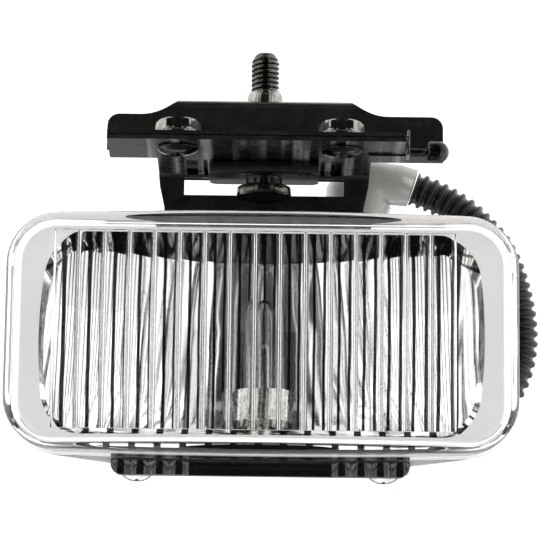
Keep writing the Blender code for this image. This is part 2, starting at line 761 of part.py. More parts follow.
def make_bulb(cup_mat, glass_mat, wire_mat):
    low, high = CUP_Z
    stem_low = LAMP_Z - REFLECTOR_HALF_H - REFLECTOR_WALL - 3.0
    cup = [
        (0.01, stem_low),
        (3.6, stem_low),
        (3.6, low - 0.6),
        (CUP_R - 1.6, low - 0.4),
        (CUP_R, low + 1.4),
        (CUP_R, high),
        (CUP_R - 0.9, high),
        (CUP_R - 0.9, high - 2.6),
        (0.01, high - 2.6),
    ]
    base = turned(cup, "Z", (0, BULB_Y), "bulb_base", cup_mat)
    foot, tip = high - 2.6 + GAP, GLASS_Z[1]
    wall = 0.7
    outer = [(GLASS_R - 0.6, foot), (GLASS_R, foot + 2.0), (GLASS_R, tip - GLASS_R)]
    outer += [(r, z) for z, r in arc((tip - GLASS_R, 0.0), GLASS_R, 72, 18, 4)]
    inner = [(GLASS_R - wall - 0.6, foot), (GLASS_R - wall, foot + 2.0), (GLASS_R - wall, tip - GLASS_R)]
    inner += [(r, z) for z, r in arc((tip - GLASS_R, 0.0), GLASS_R - wall, 72, 18, 4)]
    rings = []
    for r, z in [(r, z) for r, z in inner[::-1]] + outer:
        rings.append([(p[0], p[1], z) for p in arc((0, BULB_Y), r, 0, 360, 20)[:-1]])
    bm = bmesh.new()
    rows = [[bm.verts.new(p) for p in ring] for ring in rings]
    for a, b in zip(rows, rows[1:]):
        for i in range(20):
            j = (i + 1) % 20
            bm.faces.new((a[i], a[j], b[j], b[i]))
    bm.faces.new(rows[0])
    bm.faces.new(rows[-1])
    # the inner rings run from the tip to the foot, so the wall closes at the foot only
    glass = to_object("bulb_glass", bm, glass_mat)
    support = filament_frame(foot + 0.2, wire_mat)
    return base, glass, support


def filament_frame(foot, mat):
    """One bent wire: two legs out of the foot and the coil's straight run between them."""
    half = 2.4
    top = -74.0
    path = [(-half, BULB_Y, foot), (-half, BULB_Y, top), (half, BULB_Y, top), (half, BULB_Y, foot)]
    radius = 0.45
    outline = sheet_section([(p[0], p[2]) for p in path][::-1], 0.4, 2 * radius, 2)
    return prism(outline, "Y", BULB_Y - radius, BULB_Y + radius, "bulb_filament", mat)


def make_cradle(mat):
    """Plate behind the housing with a raised tongue, and two lugs up to the tilt pivot."""
    front, rear = CRADLE_Y
    outline = [(-CRADLE_HALF, CRADLE_LOW_Z + 4.0), (-CRADLE_HALF + 4.0, CRADLE_LOW_Z)]
    outline += [(CRADLE_HALF - 4.0, CRADLE_LOW_Z), (CRADLE_HALF, CRADLE_LOW_Z + 4.0)]
    outline += [(CRADLE_HALF, SHOULDER_Z), (TONGUE_HALF + 2.0, SHOULDER_Z)]
    outline += [(TONGUE_HALF, CRADLE_TOP_Z), (-TONGUE_HALF, CRADLE_TOP_Z)]
    outline += [(-TONGUE_HALF - 2.0, SHOULDER_Z), (-CRADLE_HALF, SHOULDER_Z)]
    cradle = prism(outline, "Y", front, rear, "lamp_cradle", mat)
    lugs = []
    for side in (-1, 1):
        inner, outer = sorted((side * 9.8, side * 11.0))
        outline = [(rear - 0.3, -74.0), (rear - 0.3, CRADLE_TOP_Z + 0.4), (15.0, -57.6)]
        outline += arc((PIVOT_Y, PIVOT_Z), 6.2, 170, -60, 10)
        lugs.append(prism(outline, "X", inner, outer))
    join(cradle, lugs)
    cutters = [cylinder((PIVOT_Y, PIVOT_Z), PIVOT_R + GAP, "X", -20.0, 20.0, sides=20)]
    for side in (-1, 1):
        for z in REAR_SCREW_Z:
            cutters.append(cylinder((side * REAR_SCREW_X, z), 2.1, "Y", 7.0, 12.0, sides=14))
    return cut(cradle, cutters)


def make_bottom_bar(mat):
    """Moulded angle bar under the housing: a flat web and a deep front edge that hides the screws."""
    front, rear = BAR_Y
    low, top = BAR_Z
    path = [(rear, top), (front, top), (front, low)]
    section = sheet_section(path, 0.3, BAR_SHEET)
    bar = prism(section, "X", -BAR_HALF, BAR_HALF, "bottom_bar", mat)
    cutters = []
    for side in (-1, 1):
        cutters.append(cylinder((side * BOSS_X, BOSS_Y), 2.1, "Z", -112.0, -104.0, sides=14))
        corner = arc((BAR_HALF - BAR_CORNER, low + BAR_CORNER), BAR_CORNER, 0, -90, 6)
        corner += [(BAR_HALF - BAR_CORNER, low - 1.0), (BAR_HALF + 1.0, low - 1.0)]
        corner.append((BAR_HALF + 1.0, low + BAR_CORNER))
        corner = [(side * x, z) for x, z in corner]
        cutters.append(prism(corner, "Y", front - 1.0, front + BAR_SHEET + 0.01))
    return cut(bar, cutters)


def make_bottom_screw(side, name, mat):
    """Domed screw up through the bar into the housing's boss."""
    seat = BAR_Z[1] - BAR_SHEET - GAP
    dome = 3.1
    profile = [(0.01, seat - dome)]
    profile += [
        (BOTTOM_HEAD_R * sin(radians(a)), seat - dome * cos(radians(a))) for a in (25, 45, 65, 85)
    ]
    profile += [(BOTTOM_HEAD_R, seat), (1.55, seat), (1.55, -105.4), (0.01, -104.9)]
    return turned(profile, "Z", (side * BOSS_X, BOSS_Y), name, mat)


def make_rear_screw(x, z, name, mat):
    seat = CRADLE_Y[1] + GAP
    profile = [
        (0.01, 6.1),
        (1.3, 6.5),
        (1.3, seat),
        (3.4, seat),
        (3.4, seat + 0.8),
        (2.2, seat + 1.9),
        (0.01, seat + 2.1),
    ]
    return turned(profile, "Y", (x, z), name, mat, sides=20)


def make_pivot(bolt_mat, washer_mat):
    centre = (PIVOT_Y, PIVOT_Z)
    seat = EAR_HALF + GAP
    hexagon = arc(centre, 4.6, 0, 360, 6)[:-1]
    bolt = cylinder(centre, PIVOT_R, "X", -seat - 0.5, seat + 4.6, "pivot_bolt", bolt_mat, 20)
    join(bolt, [prism(hexagon, "X", -seat - 3.5, -seat)])
    nut = prism(hexagon, "X", seat, seat + 4.0, "pivot_nut", bolt_mat)
    cut(nut, [cylinder(centre, PIVOT_R + GAP, "X", seat - 1.0, seat + 6.0, sides=20)])
    pieces = [bolt, nut]
    for side, name in ((-1, "pivot_washer_left"), (1, "pivot_washer_right")):
        near, far = sorted((side * 11.3, side * 12.5))
        profile = [(PIVOT_R + GAP, near), (5.4, near), (5.4, far), (PIVOT_R + GAP, far)]
        pieces.append(turned(profile, "X", centre, name, washer_mat, hollow=True))
    return pieces


def boot_ring(centre, direction, across, half_a, half_b, sides=20):
    """An oval ring square to a direction; 'across' is the axis of half_a."""
    d = Vector(direction).normalized()
    a = Vector(across)
    a = (a - d * a.dot(d)).normalized()
    b = d.cross(a)
    ring = []
    for i in range(sides):
        angle = 2 * pi * i / sides
        ring.append(Vector(centre) + a * half_a * cos(angle) + b * half_b * sin(angle))
    return ring


BOOT_STATIONS = (
    # centre, direction, half width across, half depth
    ((BOOT_X, 5.6, -57.5), (0, 1, 0), 6.8, 6.8),
    ((BOOT_X, 10.5, -57.5), (0, 1, 0), 6.8, 6.8),
    ((BOOT_X + 0.8, 16.5, -55.8), (0, 1, 0.55), 6.9, 6.6),
    ((BOOT_X + 1.6, 21.6, -50.5), (0, 0.5, 1), 7.2, 6.4),
    ((BOOT_X + 1.0, 24.0, -42.0), (0, 0.1, 1), 8.0, 6.4),
    ((BOOT_X, BOOT_Y, -33.5), (0, 0, 1), 9.2, 6.4),
    ((BOOT_X, BOOT_Y, -26.0), (0, 0, 1), 9.2, 6.4),
    ((BOOT_X + 0.6, BOOT_Y, -20.6), (0.3, 0, 1), 9.9, 6.5),
    ((BOOT_X + 2.2, BOOT_Y, -17.6), (0.62, 0, 0.8), 9.9, 6.5),
    ((BOOT_X + 5.0, BOOT_Y, -16.4), (0.9, 0, 0.4), 7.9, 6.4),
    ((BOOT_X + 8.6, BOOT_Y, -16.3), (1, 0, 0), 6.2, 6.2),
    ((BOOT_X + 12.4, BOOT_Y, -16.6), (1, 0, -0.15), 6.0, 6.0),
    ((BOOT_END.x, BOOT_END.y, BOOT_END.z), BOOT_END_DIRECTION, 5.6, 5.6),
)


def boot_rings(inset, overrun):
    """The boot's rings, shrunk by the wall; both ends run past by the overrun."""
    rings = []
    last = len(BOOT_STATIONS) - 1
    for i, (centre, direction, half_a, half_b) in enumerate(BOOT_STATIONS):
        d = Vector(direction).normalized()
        across = (d.z, 0, -d.x) if abs(d.z) + abs(d.x) > 0.7 and d.x else (1, 0, 0)
        shift = d * overrun * ((i == last) - (i == 0))
        ring = boot_ring(Vector(centre) + shift, d, across, half_a - inset, half_b - inset)
        rings.append([tuple(p) for p in ring])
    return rings


def make_boot(mat):
    boot = to_object("wire_boot", loft(boot_rings(0.0, 0.0)), mat, 50.0)
    return cut(boot, [to_object("cutter", loft(boot_rings(1.8, 2.0)))])


def smooth_route(points, steps):
    """Catmull-Rom curve through the points, each span split into equal steps."""
    pts = [Vector(p) for p in points]
    pts = [pts[0] * 2 - pts[1]] + pts + [pts[-1] * 2 - pts[-2]]
    out = []
    for i in range(1, len(pts) - 2):
        p0, p1, p2, p3 = pts[i - 1 : i + 3]
        for k in range(steps):
            t = k / steps
            out.append(
                0.5
                * (
                    2 * p1
                    + (p2 - p0) * t
                    + (2 * p0 - 5 * p1 + 4 * p2 - p3) * t * t
                    + (3 * p1 - p0 - 3 * p2 + p3) * t**3
                )
            )
    out.append(pts[-2])
    return out


def tube(points, radius, name, mat, resolution=3):
    """A filled round tube along a list of points."""
    data = bpy.data.curves.new(name, "CURVE")
    data.dimensions = "3D"
    data.bevel_depth = radius * MM
    data.bevel_resolution = resolution
    data.use_fill_caps = True
    spline = data.splines.new("POLY")
    spline.points.add(len(points) - 1)
    for slot, p in zip(spline.points, points):
        slot.co = (p[0] * MM, p[1] * MM, p[2] * MM, 1.0)
    obj = bpy.data.objects.new(name, data)
    bpy.context.collection.objects.link(obj)
    data.materials.append(mat)
    return obj


def make_loom(mat):
    return tube(smooth_route(LOOM_ROUTE, 1), LOOM_R, "loom_tube", mat)


def make_connector(body_mat, clip_mat):
    """Two-way plug on the loom's end, and the clip that holds it on the cradle."""
    low, high = CONNECTOR_X
    half_y, half_z = CONNECTOR_HALF
    centre = (CONNECTOR_Y, CONNECTOR_Z)
    body = prism(rounded_box(half_y, half_z, 2.0, 3, centre), "X", low, high - 6.0, "connector", body_mat)
    collar = cylinder(centre, 6.4, "X", high - 6.5, high, sides=20)
    latch = box((low + 3.0, low + 16.0), (CONNECTOR_Y - 2.5, CONNECTOR_Y + 2.5), (CONNECTOR_Z + 8.0, -79.6))
    join(body, [collar, latch])
    socket = prism(rounded_box(half_y - 1.8, half_z - 1.8, 1.2, 3, centre), "X", low - 1.0, low + 9.0)
    cut(body, [socket])
    near = CRADLE_Y[1] + GAP
    far = CONNECTOR_Y - half_y - GAP
    clip = box((-2.0, 12.0), (far - 1.6, far), (-95.0, -85.0), "connector_clip", clip_mat)
    join(clip, [box((2.0, 8.0), (near, far - 1.0), (-93.0, -87.0))])
    return body, clip


LEAD_ROUTES = (
    ((2.0, -17.8, -103.0), (5.0, -10.0, -103.0), (9.0, -2.5, -102.6), (13.0, 1.4, -99.8),
     (24.0, 2.2, -90.0), (29.0, 2.6, -76.0), (28.8, 3.2, -64.0), (28.6, 7.5, -57.5),
     (28.4, 12.0, -57.2)),
    ((-2.0, -17.8, -103.0), (0.0, -10.0, -103.0), (4.0, -2.5, -102.6), (10.0, 1.5, -97.0),
     (22.0, 2.2, -84.0), (25.2, 2.6, -74.0), (25.4, 3.2, -64.0), (25.6, 7.5, -57.5),
     (25.8, 12.0, -57.2)),
)


def make_leads(mats):
    pieces = []
    for route, name, mat in zip(LEAD_ROUTES, ("lead_wire_live", "lead_wire_ground"), mats):
        pieces.append(tube(smooth_route(route, 2), WIRE_R, name, mat, 1))
    return pieces


def axis_empty(name, location):
    empty = bpy.data.objects.new(name, None)
    empty.location = [v * MM for v in location]
    bpy.context.collection.objects.link(empty)
    return empty


def hang(pieces, empty):
    """Parent pieces to an empty on their joint's axis without moving them."""
    bpy.context.view_layer.update()
    for piece in pieces:
        piece.parent = empty
        piece.matrix_parent_inverse = empty.matrix_world.inverted()


def build():
    clear_scene()
    black = material("black_paint", (0.02, 0.019, 0.018), 0.18)
    zinc = material("dark_zinc", (0.2, 0.2, 0.2), 0.3, 1.0)
    silver = material("bright_zinc", (0.75, 0.74, 0.7), 0.2, 1.0)
    grey = material("light_grey_plastic", (0.6, 0.6, 0.57), 0.4)
    gloss = material("gloss_black_plastic", (0.012, 0.012, 0.012), 0.12)
    rubber = material("black_rubber", (0.02, 0.02, 0.02), 0.5)
    chrome = material("aluminised", (0.9, 0.9, 0.9), 0.05, 1.0)
    glass = material("clear_glass", (1.0, 1.0, 1.0), 0.02, 0.0, 1.0)
    nylon = material("nylon", (0.8, 0.78, 0.7), 0.5)
    copper = material("lead_red", (0.5, 0.05, 0.04), 0.5)
    silicone = material("clear_silicone", (0.7, 0.7, 0.68), 0.3)

    make_stud(zinc)
    make_retainer(zinc)

    swivel = axis_empty("swivel_axis", (0, 0, 0))
    tilt = axis_empty("tilt_axis", (0, PIVOT_Y, PIVOT_Z))

    bracket = [
        make_bracket(black),
        make_yoke(black),
        make_saddle(black),
        make_backing_plate(black),
        make_sleeve(zinc),
        make_side_clip(silver),
        make_side_screw(zinc),
    ]
    for x, side in zip(CLAMP_X, ("left", "right")):
        bracket.append(make_clamp_bolt(x, f"clamp_bolt_{side}", zinc))
        bracket.append(make_flange_nut(x, f"flange_nut_{side}", silver))
    bracket += make_pivot(zinc, nylon)
    hang(bracket, swivel)

    lamp = [
        make_lens(glass),
        make_lens_seal(silicone),
        make_housing(grey),
        make_reflector(chrome),
        make_cradle(black),
        make_bottom_bar(gloss),
        make_boot(grey),
        make_loom(rubber),
    ]
    lamp += make_bulb(silver, glass, silver)
    lamp += make_connector(rubber, nylon)
    lamp += make_leads((copper, black))
    for side, word in ((-1, "left"), (1, "right")):
        lamp.append(make_bottom_screw(side, f"bottom_screw_{word}", silver))
        for z, level in zip(REAR_SCREW_Z, ("low", "high")):
            lamp.append(make_rear_screw(side * REAR_SCREW_X, z, f"rear_screw_{level}_{word}", zinc))
    hang(lamp, tilt)
    hang([tilt], swivel)


build()
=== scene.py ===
"""Looks of the rectangular fog light: fluted glass, mirror bowl, corrugated loom, black bracket.

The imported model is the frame. The lamp's sizes are in millimetres, turned into metres by MM; the
camera's and the floor's are in metres.
"""

from math import cos, hypot, pi, radians, sin

import bmesh
import bpy
from mathutils import Matrix, Vector


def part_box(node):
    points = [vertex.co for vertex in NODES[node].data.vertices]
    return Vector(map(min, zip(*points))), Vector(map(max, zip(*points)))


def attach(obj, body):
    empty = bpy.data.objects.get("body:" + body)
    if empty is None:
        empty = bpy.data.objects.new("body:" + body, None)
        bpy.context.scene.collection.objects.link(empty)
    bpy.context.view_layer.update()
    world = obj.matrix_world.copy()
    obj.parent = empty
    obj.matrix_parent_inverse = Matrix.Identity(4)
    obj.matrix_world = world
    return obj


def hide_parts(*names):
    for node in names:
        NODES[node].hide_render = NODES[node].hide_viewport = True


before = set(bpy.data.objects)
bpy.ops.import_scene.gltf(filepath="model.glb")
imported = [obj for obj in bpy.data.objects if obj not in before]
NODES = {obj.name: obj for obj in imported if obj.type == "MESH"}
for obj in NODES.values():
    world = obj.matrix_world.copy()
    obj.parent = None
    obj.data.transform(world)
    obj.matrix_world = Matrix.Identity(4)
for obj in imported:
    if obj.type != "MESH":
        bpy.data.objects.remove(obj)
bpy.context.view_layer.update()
MM = 0.001

# Camera: from just below, almost straight on, a long lens.
CAMERA_AIM = (0.0020, 0.0103, -0.0456)
CAMERA_DISTANCE = 0.945
CAMERA_AZIMUTH = 0.0
CAMERA_ELEVATION = -12.7
CAMERA_ROLL = 0.7
CAMERA_LENS = 220.0

# Studio. Directions are unit vectors: "side" is the sine of the azimuth off the front or the back.
STUDIO_LIGHT = 1.25
FLOOR_Z = -0.32
FLOOR_HALF = 3.0
FLOOR_GLOW = 0.45
CARD_SIDE = (0.44, 0.5)  # the front card's upright edge, from dark to light
CARD_Y = (-0.15, 0.0)
CARD_DARKNESS = 0.97
DARK_STRIPS = ((0.66, 0.73), (0.86, 0.91))  # side at their edges
STRIP_EDGE = 0.01
BACK_CARD_Y = (0.5, 0.7)
BACK_CARD_Z = (-0.6, -0.45, -0.12, -0.04)  # where it rises, is full, fades and is gone
BACK_CARD_SHARE = 0.9
LIGHT_LINE_Z = (0.47, 0.5, 0.53, 0.56)  # lies across the front card
LIGHT_LINE = 0.3
GLOW_SIDE = (0.6, 0.8)
GLOW_Z = (0.6, 0.75)
GLOW = 0.8

# Loom, the same route as in the CAD design.
LOOM_R = 5.0
LOOM_PITCH = 2.7
LOOM_DEPTH = 0.95
LOOM_SIDES = 30
LOOM_ROWS = 8  # rows of vertices on each corrugation
LOOM_SQUARENESS = 1.9  # how far the wave's tops and bottoms are flattened
LOOM_ROUTE = (
    (43.7, 24.3, -17.7),
    (48.5, 24.4, -19.4),
    (53.4, 24.5, -21.8),
    (58.4, 24.6, -25.0),
    (63.0, 24.7, -29.2),
    (67.6, 24.8, -34.6),
    (71.0, 24.9, -41.2),
    (73.2, 25.0, -48.6),
    (74.6, 25.1, -56.4),
    (74.7, 25.2, -64.4),
    (73.2, 25.3, -72.0),
    (69.6, 25.4, -79.0),
    (63.8, 25.5, -84.6),
    (57.4, 25.5, -88.4),
    (50.0, 25.5, -90.2),
    (42.0, 25.4, -90.4),
    (33.5, 25.4, -90.2),
    (25.0, 25.4, -90.0),
)

# Lens
LAMP_Z = -73.9
LENS_W = 139.0
LENS_H = 67.0
LENS_CORNER = 14.0
LENS_BOW = 1.2
LENS_BULGE = 1.5
LENS_FRONT_Y = -43.5
LENS_REAR_Y = -29.6
LENS_WALL = 3.0
LENS_WALL_EXTRA = 0.6  # extra thickness of the walls above and below
LENS_FLOOR_Y = LENS_FRONT_Y + 2.9
LENS_FLOOR_R = 2.0
SHOULDER = 4.5
SHOULDER_STEPS = 12
CROWN_SHARES = (0.93, 0.85, 0.75, 0.6, 0.45, 0.3, 0.15, 0.03)
FLUTES = 16
FLUTE_PITCH = 6.8
FLUTE_X = -2.0
FLUTE_DEPTH = 0.9
FLUTE_HALF_H = 27.2
FLUTE_STEPS = 30
RIDGE_SHARE = 0.085  # half the width of the ridge between flutes, as a share of the pitch
HOLLOW_DEPTH = 0.42

# Painted shade: dark upright stripes on the mirror at the flutes' pitch, standing in for the dark bands
# the flutes show
STRIPE_EDGE = (0.12, 0.16)  # distance from the stripe's middle, as a share of the pitch
PAINTED_SHADE_LEVEL = 0.03
STRIPE_WANDER = 0.5
WHOLE_TURNS = 40.0  # keeps the stripes' phase above zero

# Reflector
REFLECTOR_HALF_W = 62.0
REFLECTOR_HALF_H = 25.6
REFLECTOR_CORNER = 10.0
REFLECTOR_WALL = 1.2
REFLECTOR_RIM = (65.8, 29.1, -33.4)  # half width, half height, y
BOWL_SHARE = 0.98  # the bowl's width as a share of the reflector's
BOWL_MOUTH = 1.1  # the mouth's height as a share of the bowl's
BOWL_BARREL = 0.05  # how far its sides close in towards the top and bottom
BOWL_RINGS = 34
FOCAL = 29.0
BOWL_STRAIGHT_X = 34.0
VERTEX_Y = 2.4
BOWL_TOP_SHARE = 0.99  # the bowl's first ring as a share of its mouth
FLANGE_STEP = 0.6  # how far the flange's inner edge lies behind its outer edge
BULB_HOLE_R = 4.2
BULB_Y = -22.0
# Painted light: how brightly the reflector's flange glows.
FLANGE_PAINTED_GLOW = 0.4

# Bottom bar
BAR_SHEET = 1.5
BAR_CORNER = 3.0
BAR_PLAIN_HALF = 19.5
BAR_RIB_PITCH = 5.3
BAR_RIB_DEPTH = 0.9

# Stud
STUD_R = 3.97
STUD_PITCH = 1.41
STUD_TIP_Z = 15.3
STUD_SIDES = 56
STUD_ROWS = 14  # rows of vertices on each turn of the thread
THREAD_DEPTH = 0.82
THREAD_FADE = 2.0  # length over which the thread starts
TIP_LENGTH = 2.6
TIP_DEPTH = 1.3
STUD_BODY = (  # head and plain shank: radius, height
    (0.01, -26.75),
    (5.2, -26.85),
    (5.7, -27.0),
    (6.9, -27.0),
    (7.45, -26.75),
    (7.75, -26.2),
    (7.75, -24.5),
    (7.6, -24.2),
    (7.3, -24.1),
    (5.2, -24.1),
    (5.2, -21.5),
    (STUD_R, -21.5),
    (STUD_R, 0.0),
)

# Flange nuts
NUT_FLATS = 11.1
NUT_FLANGE_R = 7.4
NUT_BORE = 3.3
NUT_SIDES = 96

# Bottom screws
SCREW_DOME = 3.1
SCREW_DOME_STEPS = 12
SCREW_SHANK_R = 1.55
SCREW_RECESS = (2.0, 0.45, 1.0)  # half length, half width, depth


# ---------------------------------------------------------------- mesh helpers


def to_object(name, bm, sharp=35.0):
    """Turn a bmesh in millimetres into an object in metres with its round stretches smooth."""
    bmesh.ops.remove_doubles(bm, verts=bm.verts, dist=0.001)
    bmesh.ops.recalc_face_normals(bm, faces=bm.faces)
    bmesh.ops.scale(bm, vec=(MM, MM, MM), verts=bm.verts)
    mesh = bpy.data.meshes.new(name)
    bm.to_mesh(mesh)
    bm.free()
    mesh.shade_smooth()
    mesh.set_sharp_from_angle(angle=radians(sharp))
    obj = bpy.data.objects.new(name, mesh)
    bpy.context.scene.collection.objects.link(obj)
    return obj


def cut(obj, cutters):
    """Subtract the cutters, apply the object's modifiers and delete the cutters."""
    for other in cutters:
        step = obj.modifiers.new("cut", "BOOLEAN")
        step.operation = "DIFFERENCE"
        step.object = other
        step.solver = "EXACT"
    bpy.context.view_layer.update()
    depsgraph = bpy.context.evaluated_depsgraph_get()
    mesh = bpy.data.meshes.new_from_object(obj.evaluated_get(depsgraph))
    old = obj.data
    obj.modifiers.clear()
    obj.data = mesh
    bpy.data.meshes.remove(old)
    mesh.name = obj.name
    mesh.shade_smooth()
    mesh.set_sharp_from_angle(angle=radians(30.0))
    for other in cutters:
        bpy.data.objects.remove(other, do_unlink=True)


def arc(centre, radius, start, end, steps):
    """Points on a circle, from one angle to another in degrees."""
    return [
        (
            centre[0] + radius * cos(radians(start + (end - start) * i / steps)),
            centre[1] + radius * sin(radians(start + (end - start) * i / steps)),
        )
        for i in range(steps + 1)
    ]


def rounded_box(half_w, half_h, radius):
    """Outline of a rectangle with round corners."""
    a, b = half_w - radius, half_h - radius
    points = []
    for cx, cy, start in ((a, -b, -90), (a, b, 0), (-a, b, 90), (-a, -b, 180)):
        points += arc((cx, cy), radius, start, start + 90, 10)
    return points


def densify(outline, longest):
    """Split the outline's edges of twice that length or more into about that length."""
    out = []
    for i, (x, z) in enumerate(outline):
        nx, nz = outline[(i + 1) % len(outline)]
        parts = max(1, int(hypot(nx - x, nz - z) / longest))
        out += [(x + (nx - x) * k / parts, z + (nz - z) * k / parts) for k in range(parts)]
    return out


def lift(point, axis, height):
    """Place a point of an outline in space, at a height along Y or Z."""
    a, b = point
    if axis == "Y":
        return (a, height, b)
    return (a, b, height)


def skin(bm, rings, closed=False):
    """Join rings of points by quads, with the ends capped or, if closed, joined to each other."""
    rows = [[bm.verts.new(p) for p in ring] for ring in rings]
    count = len(rings[0])
    pairs = list(zip(rows, rows[1:]))
    if closed:
        pairs.append((rows[-1], rows[0]))
    for low, high in pairs:
        for i in range(count):
            j = (i + 1) % count
            bm.faces.new((low[i], low[j], high[j], high[i]))
    if not closed:
        bm.faces.new(list(reversed(rows[0])))
        bm.faces.new(rows[-1])


def rectangle(x0, x1, y0, y1):
    return [(x0, y0), (x1, y0), (x1, y1), (x0, y1)]


def prism(outline, axis, low, high, name="cutter"):
    bm = bmesh.new()
    skin(bm, [[lift(p, axis, low) for p in outline], [lift(p, axis, high) for p in outline]])
    return to_object(name, bm)


def circle(centre, radius, height, sides):
    return [lift(p, "Z", height) for p in arc(centre, radius, 0, 360, sides)[:-1]]


def turned(profile, centre, name, sides):
    """Solid of revolution about an upright axis, from (radius, height) pairs."""
    bm = bmesh.new()
    skin(bm, [circle(centre, radius, height, sides) for radius, height in profile])
    return to_object(name, bm)


def smooth_route(points, steps):
    """Catmull-Rom curve through the points, each span split into equal steps."""
    pts = [Vector(p) for p in points]
    pts = [pts[0] * 2 - pts[1]] + pts + [pts[-1] * 2 - pts[-2]]
    out = []
    for i in range(1, len(pts) - 2):
        p0, p1, p2, p3 = pts[i - 1 : i + 3]
        for k in range(steps):
            t = k / steps
            a = 2 * p1 + (p2 - p0) * t
            b = (2 * p0 - 5 * p1 + 4 * p2 - p3) * t * t
            c = (3 * p1 - p0 - 3 * p2 + p3) * t**3
            out.append(0.5 * (a + b + c))
    out.append(pts[-2])
    return out


# ---------------------------------------------------------------- materials


class Look:
    """A Principled material with helpers that drive its inputs from noise in object space."""

    def __init__(self, name):
        self.mat = bpy.data.materials.new(name)
        self.mat.use_nodes = True
        self.nodes = self.mat.node_tree.nodes
        self.links = self.mat.node_tree.links
        self.shader = self.nodes["Principled BSDF"]
        self.height = None

    def set(self, **values):
        for key, value in values.items():
            self.shader.inputs[key.replace("_", " ")].default_value = value
        return self

    def noise(self, scale, detail, stretch=(1, 1, 1)):
        coord = self.nodes.new("ShaderNodeTexCoord")
        place = self.nodes.new("ShaderNodeMapping")
        place.inputs["Scale"].default_value = [scale * s for s in stretch]
        self.links.new(coord.outputs["Object"], place.inputs["Vector"])
        tex = self.nodes.new("ShaderNodeTexNoise")
        tex.inputs["Scale"].default_value = 1.0
        tex.inputs["Detail"].default_value = detail
        tex.inputs["Roughness"].default_value = 0.55
        self.links.new(place.outputs["Vector"], tex.inputs["Vector"])
        return tex.outputs["Fac"]

    def colour(self, fac, first, second, start=0.35, end=0.65):
        ramp = self.nodes.new("ShaderNodeValToRGB")
        ramp.color_ramp.elements[0].position = start
        ramp.color_ramp.elements[1].position = end
        ramp.color_ramp.elements[0].color = (*first, 1)
        ramp.color_ramp.elements[1].color = (*second, 1)
        self.links.new(fac, ramp.inputs["Fac"])
        self.links.new(ramp.outputs["Color"], self.shader.inputs["Base Color"])

    def darken(self, factor):
        """Multiply the base colour by a factor."""
        node = self.nodes.new("ShaderNodeVectorMath")
        node.operation = "SCALE"
        base = self.shader.inputs["Base Color"]
        self.links.new(base.links[0].from_socket, node.inputs[0])
        self.links.new(factor, node.inputs["Scale"])
        self.links.new(node.outputs["Vector"], base)

    def roughness(self, fac, low, high):
        step = self.nodes.new("ShaderNodeMapRange")
        step.inputs["From Min"].default_value = 0.35
        step.inputs["From Max"].default_value = 0.65
        step.inputs["To Min"].default_value = low
        step.inputs["To Max"].default_value = high
        self.links.new(fac, step.inputs["Value"])
        self.links.new(step.outputs["Result"], self.shader.inputs["Roughness"])

    def bump(self, fac, height_mm, strength):
        """Relief of that height; a second call adds its relief on top of the first."""
        node = self.nodes.new("ShaderNodeBump")
        node.inputs["Strength"].default_value = strength
        node.inputs["Distance"].default_value = height_mm * MM
        self.links.new(fac, node.inputs["Height"])
        if self.height is not None:
            self.links.new(self.height.outputs["Normal"], node.inputs["Normal"])
        self.links.new(node.outputs["Normal"], self.shader.inputs["Normal"])
        self.height = node


class Graph:
    """Arithmetic in a node tree: numbers stay numbers, sockets are linked."""

    def __init__(self, tree):
        self.nodes, self.links = tree.nodes, tree.links

    def feed(self, node, slot, value):
        if isinstance(value, (int, float)):
            node.inputs[slot].default_value = value
        else:
            self.links.new(value, node.inputs[slot])

    def math(self, operation, a, b=None):
        node = self.nodes.new("ShaderNodeMath")
        node.operation = operation
        self.feed(node, 0, a)
        if b is not None:
            self.feed(node, 1, b)
        return node.outputs["Value"]

    def ramp(self, value, low, high, to_low=0.0, to_high=1.0):
        step = self.nodes.new("ShaderNodeMapRange")
        step.interpolation_type = "SMOOTHSTEP"
        step.inputs["From Min"].default_value = low
        step.inputs["From Max"].default_value = high
        step.inputs["To Min"].default_value = to_low
        step.inputs["To Max"].default_value = to_high
        self.links.new(value, step.inputs["Value"])
        return step.outputs["Result"]

    def fall(self, value, low, high):
        return self.ramp(value, low, high, 1.0, 0.0)

    def band(self, value, rise, full, fade, gone):
        """One between two edges, zero outside them."""
        return self.product(self.ramp(value, rise, full), self.fall(value, fade, gone))

    def product(self, *factors):
        total = factors[0]
        for factor in factors[1:]:
            total = self.math("MULTIPLY", total, factor)
        return total

    def split(self, vector):
        node = self.nodes.new("ShaderNodeSeparateXYZ")
        self.links.new(vector, node.inputs["Vector"])
        return [node.outputs[axis] for axis in "XYZ"]

    def output(self, kind, socket):
        """That output of a new node of that kind."""
        return self.nodes.new(kind).outputs[socket]

    def studio_level(self, towards):
        """Brightness seen in a direction: dark cards in front and behind, glow at the sides."""
        x, y, z = self.split(towards)
        level_length = self.math("SQRT", self.math("ADD", self.product(x, x), self.product(y, y)))
        side = self.math("DIVIDE", self.math("ABSOLUTE", x), self.math("MAXIMUM", level_length, 0.01))
        card = self.fall(side, *CARD_SIDE)
        for low, high in DARK_STRIPS:
            strip = self.band(side, low - STRIP_EDGE, low, high, high + STRIP_EDGE)
            card = self.math("MAXIMUM", card, strip)
        card = self.product(card, self.fall(y, *CARD_Y))
        behind = self.product(self.ramp(y, *BACK_CARD_Y), self.band(z, *BACK_CARD_Z))
        card = self.math("MAXIMUM", card, self.product(behind, BACK_CARD_SHARE))
        line = self.product(card, self.band(z, *LIGHT_LINE_Z))
        glow = self.product(self.ramp(side, *GLOW_SIDE), self.fall(self.math("ABSOLUTE", z), *GLOW_Z))
        level = self.math("SUBTRACT", 1.0, self.product(card, CARD_DARKNESS))
        level = self.math("ADD", level, self.product(line, LIGHT_LINE))
        return self.math("ADD", level, self.product(glow, GLOW))


